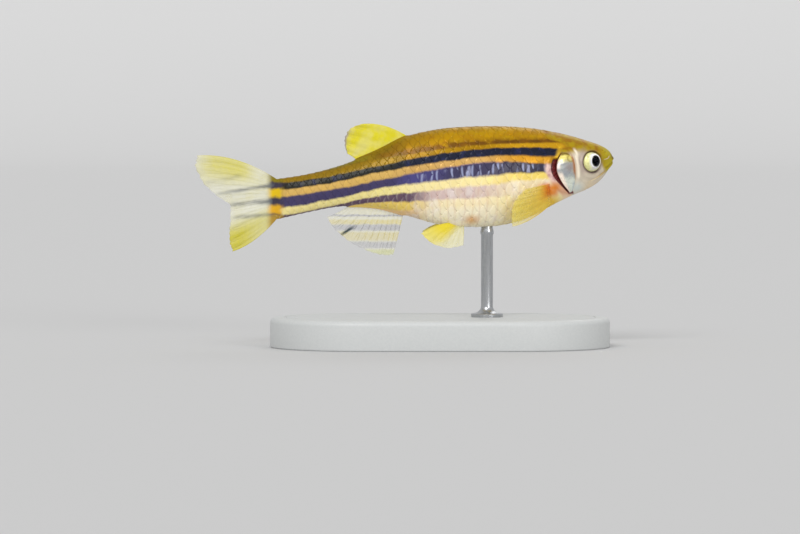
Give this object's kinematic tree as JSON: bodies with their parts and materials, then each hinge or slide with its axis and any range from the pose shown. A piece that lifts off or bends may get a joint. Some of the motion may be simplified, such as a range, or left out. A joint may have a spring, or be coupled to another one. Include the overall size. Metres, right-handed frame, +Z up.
{
  "type": "zebra danio",
  "caption": "Life-size still model of a small striped freshwater fish, bent gently in mid swim, with spread fins, held over a flat oval base by a short rod.",
  "frame": {"origin": "centre of the stand base's underside, on the surface it rests on", "axes": "+Z up, +X the way the snout points, -Y the side that the fish's own right flank faces"},
  "size_m": [0.0423, 0.019, 0.0224],
  "materials": {
    "skin": "glossy, wet-looking scaled skin, olive gold above, striped blue-black and gold on the flanks, cream below",
    "silver": "silvery, glossy gill cover with gold and bluish marks",
    "gill": "wet dark red",
    "eye": "clear gloss over a pale yellow-silver iris and a black pupil",
    "fin": "thin, translucent membrane between bony rays, yellow with grey bands",
    "stand_base": "satin pale grey",
    "stand_rod": "brushed"
  },
  "bodies": {
    "root": {"head": "skin", "lower_jaw": "skin", "torso": "skin", "tail_stalk": "skin", "barbel_lip_right": "skin", "barbel_lip_left": "skin", "barbel_mouth_right": "skin", "barbel_mouth_left": "skin", "operculum_right": "silver", "operculum_left": "silver", "gill_right": "gill", "gill_left": "gill", "eye_right": "eye", "eye_left": "eye", "dorsal_fin": "fin", "anal_fin": "fin", "caudal_fin_upper": "fin", "caudal_fin_lower": "fin", "pelvic_fin_right": "fin", "pelvic_fin_left": "fin", "pectoral_fin_right": "fin", "pectoral_fin_left": "fin", "stand_base": "stand_base", "stand_rod": "stand_rod"}
  },
  "joints": []
}
